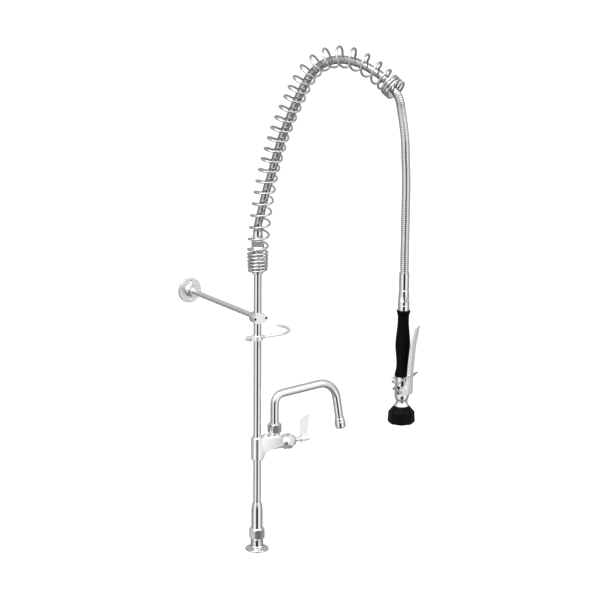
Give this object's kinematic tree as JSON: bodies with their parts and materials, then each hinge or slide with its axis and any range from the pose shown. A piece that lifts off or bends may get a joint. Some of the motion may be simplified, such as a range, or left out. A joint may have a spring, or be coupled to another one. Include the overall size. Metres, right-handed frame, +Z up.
{
  "type": "pre rinse faucet",
  "caption": "Tall deck pre-rinse faucet: riser with wall bracket and finger hook, spring arch over a hose, squeeze spray valve with rubber bumper, and an add-on swing spout with handle.",
  "frame": {"origin": "centre of the deck flange's underside, on the deck plane", "axes": "+Z up along the riser; +Y towards the wall; +X along the add-on faucet's arm and spout; the spring arch leans out in the vertical plane at -70 degrees from +X"},
  "size_m": [0.2578, 0.6915, 1.1205],
  "materials": {
    "polished_chrome": "mirror-bright chrome plate",
    "spring_steel": "bright chromed spring wire",
    "satin_metal": "satin chrome",
    "screw_steel": "plain stainless steel",
    "hose_steel": "ribbed stainless hose",
    "black_rubber": "moulded black rubber",
    "grip_plastic": "ribbed black grip",
    "inner_brass": "machined brass",
    "white_packing": "pressed packing"
  },
  "bodies": {
    "stand": {"base_gasket": "black_rubber", "base_flange": "polished_chrome", "union_washer": "black_rubber", "union_nut": "polished_chrome", "swivel_sleeve": "polished_chrome", "lower_pipe": "polished_chrome", "addon_body": "polished_chrome", "arm_plug": "polished_chrome", "riser_pipe": "polished_chrome", "clamp_front": "polished_chrome", "clamp_back": "satin_metal", "clamp_screws": "screw_steel", "bracket_arm": "satin_metal", "wall_flange": "satin_metal", "hook_ring": "polished_chrome", "hook_rod": "polished_chrome", "hook_screw": "screw_steel", "spring_seat": "polished_chrome", "spring": "spring_steel", "riser_coupling": "polished_chrome", "hose_nut": "polished_chrome", "hose_washer": "black_rubber", "lower_ferrule": "polished_chrome", "hose_arch": "hose_steel", "spout_nut": "polished_chrome", "bonnet": "polished_chrome", "stem_packing": "white_packing"},
    "spout": {"spout_tube": "polished_chrome", "spout_seal": "black_rubber", "spout_end": "polished_chrome", "outlet_screen": "screw_steel"},
    "faucet_handle": {"handle": "polished_chrome", "handle_screw": "screw_steel", "spindle": "polished_chrome", "seat_disc": "black_rubber"},
    "hose_link": {"hose_bend": "hose_steel"},
    "hanging_hose": {"hose_drop": "hose_steel", "upper_ferrule": "polished_chrome"},
    "spray": {"swivel_adapter": "polished_chrome", "swivel_seal": "black_rubber", "adapter_ring": "polished_chrome", "grip_tube": "inner_brass", "grip": "grip_plastic", "valve_body": "polished_chrome", "back_cap": "polished_chrome", "valve_spring": "screw_steel", "lever_screws": "screw_steel", "bumper": "black_rubber", "spray_face": "screw_steel", "face_screw": "screw_steel"},
    "spray_lever": {"lever": "polished_chrome"},
    "valve_poppet": {"valve_stem": "inner_brass", "valve_disc": "black_rubber"},
    "hold_down": {"bail": "polished_chrome"}
  },
  "joints": [
    {"name": "spout_swing", "type": "hinge", "parent": "stand", "child": "spout", "pos_m": [0.044, 0, 0.2695], "axis": [0, 0, 1], "range_deg": [-150, 150]},
    {"name": "handle_turn", "type": "hinge", "parent": "stand", "child": "faucet_handle", "pos_m": [0.1115, 0, 0.2365], "axis": [1, 0, 0], "range_deg": [0, 90]},
    {"name": "hose_swing", "type": "hinge", "parent": "stand", "child": "hose_link", "pos_m": [0.12737, -0.34994, 0.94], "axis": [0.9397, 0.342, 0], "range_deg": [-20, 20], "deforming": ["hose_bend"]},
    {"name": "hose_sway", "type": "hinge", "parent": "hose_link", "child": "hanging_hose", "pos_m": [0.12894, -0.35426, 0.8], "axis": [0.342, -0.9397, 0], "range_deg": [-20, 20], "deforming": ["hose_drop"]},
    {"name": "spray_swivel", "type": "hinge", "parent": "hanging_hose", "child": "spray", "pos_m": [0.12894, -0.35426, 0.64], "axis": [0, 0, 1], "continuous": true},
    {"name": "lever_squeeze", "type": "hinge", "parent": "spray", "child": "spray_lever", "pos_m": [0.13065, -0.35896, 0.434], "axis": [-0.9397, -0.342, 0], "range_deg": [0, 5], "stiffness_Nm_per_rad": 2},
    {"name": "poppet_slide", "type": "slide", "parent": "spray", "child": "valve_poppet", "axis": [-0.342, 0.9397, 0], "range_m": [0, 0.0017]},
    {"name": "hold_down_slide", "type": "slide", "parent": "spray", "child": "hold_down", "axis": [0, 0, 1], "range_m": [0, 0.009]}
  ],
  "couplings": [
    {"joint": "poppet_slide", "follows": "lever_squeeze", "m_per_rad": 0.0185}
  ]
}
